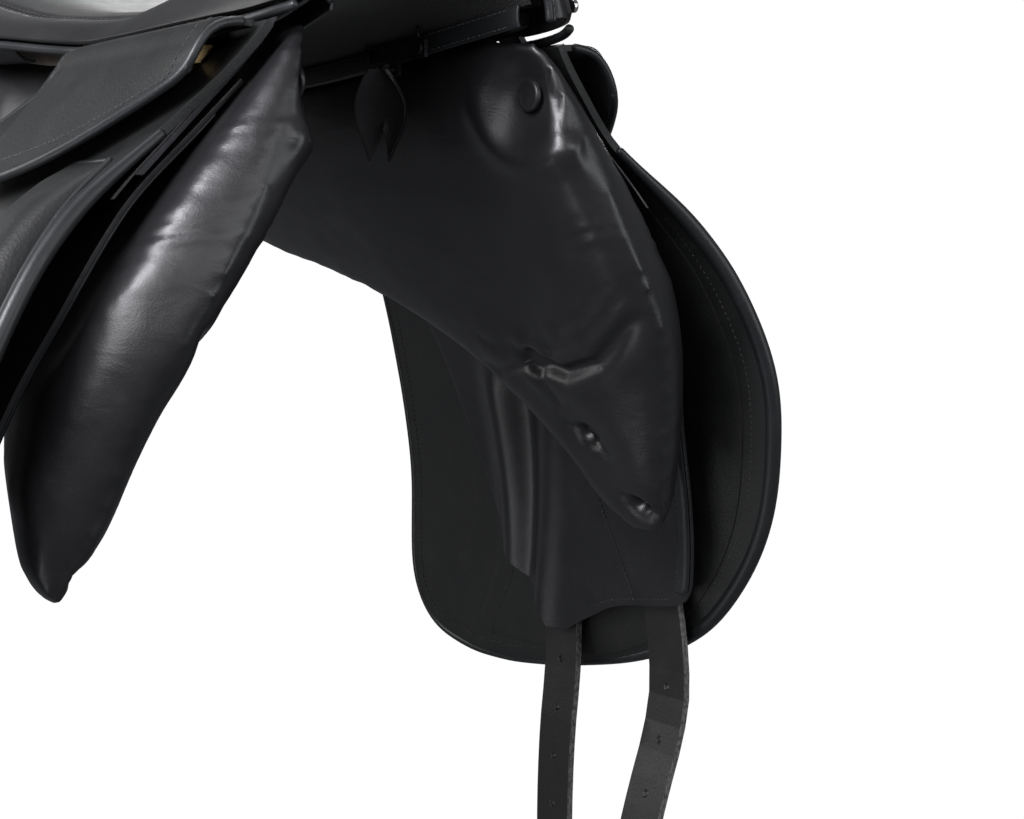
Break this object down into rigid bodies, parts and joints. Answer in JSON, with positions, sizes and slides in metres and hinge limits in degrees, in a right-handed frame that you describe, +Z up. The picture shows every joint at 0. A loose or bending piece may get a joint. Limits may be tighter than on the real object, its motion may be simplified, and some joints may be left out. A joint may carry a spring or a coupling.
{
  "type": "english dressage saddle",
  "caption": "Black English dressage saddle with deep seat, flocked panels, long lifting flaps, skirts over stirrup bars, thigh blocks and long billets.",
  "frame": {"origin": "middle of the channel, at the level of the horse's back, where the saddle rests on a horse or a rack", "axes": "+Z up, -Y towards the pommel and the horse's head, +X towards the rider's left; mirrored about X = 0 apart from the clip in the channel"},
  "size_m": [0.4732, 0.4882, 0.714],
  "materials": {
    "panel_leather": "soft smooth calf leather, satin sheen",
    "seat_leather": "soft grained seat leather, satin",
    "grain_leather": "fine grained flap leather, matt to satin",
    "trim_leather": "smooth bound and piped leather",
    "strap_leather": "thick bridle leather with a lighter raw edge",
    "foam": "seat foam",
    "wool": "wool flocking",
    "webbing": "woven webbing",
    "tree_wood": "laminated beech, stained black",
    "tree_steel": "black lacquered steel",
    "gold_plate": "gold coloured plating, polished",
    "bright_steel": "nickel plated, polished"
  },
  "bodies": {
    "root": {"seat_cover": "seat_leather", "seat_foam": "foam", "seat_welt": "trim_leather", "pommel_facing": "panel_leather", "cantle_facing": "panel_leather", "nameplate": "gold_plate", "head_plate": "tree_steel", "cantle_frame": "tree_wood", "seat_web": "webbing", "girth_web_front": "webbing", "girth_web_rear": "webbing", "tree_rivets": "tree_steel", "saddle_nails": "bright_steel", "gullet_clip": "tree_steel", "gullet_rivets": "tree_steel", "gullet_wire_loop": "tree_steel", "bar_rivets": "gold_plate", "panel_buttons": "trim_leather", "dee_chapes": "trim_leather", "tree_rail_r": "tree_wood", "tree_point_r": "tree_steel", "spring_bar_r": "tree_steel", "point_pocket_r": "panel_leather", "stirrup_bar_r": "gold_plate", "panel_r": "panel_leather", "flocking_r": "wool", "channel_strip_r": "trim_leather", "sweat_flap_r": "panel_leather", "sweat_binding_r": "trim_leather", "tree_rail_l": "tree_wood", "tree_point_l": "tree_steel", "spring_bar_l": "tree_steel", "point_pocket_l": "panel_leather", "stirrup_bar_l": "gold_plate", "panel_l": "panel_leather", "flocking_l": "wool", "channel_strip_l": "trim_leather", "sweat_flap_l": "panel_leather", "sweat_binding_l": "trim_leather"},
    "flap_r": {"flap_r": "grain_leather", "flap_roll_r": "trim_leather", "thigh_block_r": "grain_leather", "keeper_r": "trim_leather"},
    "skirt_r": {"skirt_r": "grain_leather"},
    "catch_r": {"bar_catch_r": "gold_plate"},
    "billet_front_r": {"billet_front_r": "strap_leather"},
    "billet_rear_r": {"billet_rear_r": "strap_leather"},
    "dee_r": {"dee_ring_r": "bright_steel"},
    "flap_l": {"flap_l": "grain_leather", "flap_roll_l": "trim_leather", "thigh_block_l": "grain_leather", "keeper_l": "trim_leather"},
    "skirt_l": {"skirt_l": "grain_leather"},
    "catch_l": {"bar_catch_l": "gold_plate"},
    "billet_front_l": {"billet_front_l": "strap_leather"},
    "billet_rear_l": {"billet_rear_l": "strap_leather"},
    "dee_l": {"dee_ring_l": "bright_steel"},
    "gullet_tab": {"gullet_tab": "panel_leather"}
  },
  "joints": [
    {"name": "flap_lift_r", "type": "hinge", "parent": "root", "child": "flap_r", "pos_m": [-0.08, -0.1, 0.014], "axis": [0, 1, 0], "range_deg": [0, 60]},
    {"name": "skirt_lift_r", "type": "hinge", "parent": "flap_r", "child": "skirt_r", "pos_m": [-0.08, -0.1, 0.014], "axis": [0, 1, 0], "range_deg": [0, 35]},
    {"name": "catch_tip_r", "type": "hinge", "parent": "root", "child": "catch_r", "pos_m": [-0.09, -0.106, 0], "axis": [1, 0, 0], "range_deg": [0, 75]},
    {"name": "billet_front_swing_r", "type": "hinge", "parent": "root", "child": "billet_front_r", "pos_m": [-0.114, -0.118, -0.038], "axis": [1, 0, 0], "range_deg": [-6, 6]},
    {"name": "billet_rear_swing_r", "type": "hinge", "parent": "root", "child": "billet_rear_r", "pos_m": [-0.114, -0.026, -0.038], "axis": [1, 0, 0], "range_deg": [-6, 6]},
    {"name": "dee_swing_r", "type": "hinge", "parent": "root", "child": "dee_r", "pos_m": [-0.0695, -0.204, 0.046], "axis": [0, 1, 0], "range_deg": [0, 75]},
    {"name": "flap_lift_l", "type": "hinge", "parent": "root", "child": "flap_l", "pos_m": [0.08, -0.1, 0.014], "axis": [0, -1, 0], "range_deg": [0, 60]},
    {"name": "skirt_lift_l", "type": "hinge", "parent": "flap_l", "child": "skirt_l", "pos_m": [0.08, -0.1, 0.014], "axis": [0, -1, 0], "range_deg": [0, 35]},
    {"name": "catch_tip_l", "type": "hinge", "parent": "root", "child": "catch_l", "pos_m": [0.09, -0.106, 0], "axis": [1, 0, 0], "range_deg": [0, 75]},
    {"name": "billet_front_swing_l", "type": "hinge", "parent": "root", "child": "billet_front_l", "pos_m": [0.114, -0.118, -0.038], "axis": [1, 0, 0], "range_deg": [-6, 6]},
    {"name": "billet_rear_swing_l", "type": "hinge", "parent": "root", "child": "billet_rear_l", "pos_m": [0.114, -0.026, -0.038], "axis": [1, 0, 0], "range_deg": [-6, 6]},
    {"name": "dee_swing_l", "type": "hinge", "parent": "root", "child": "dee_l", "pos_m": [0.0695, -0.204, 0.046], "axis": [0, -1, 0], "range_deg": [0, 75]},
    {"name": "gullet_tab_swing", "type": "hinge", "parent": "root", "child": "gullet_tab", "pos_m": [0.0318, -0.128, 0.004], "axis": [1, 0, 0], "range_deg": [-45, 45]}
  ]
}
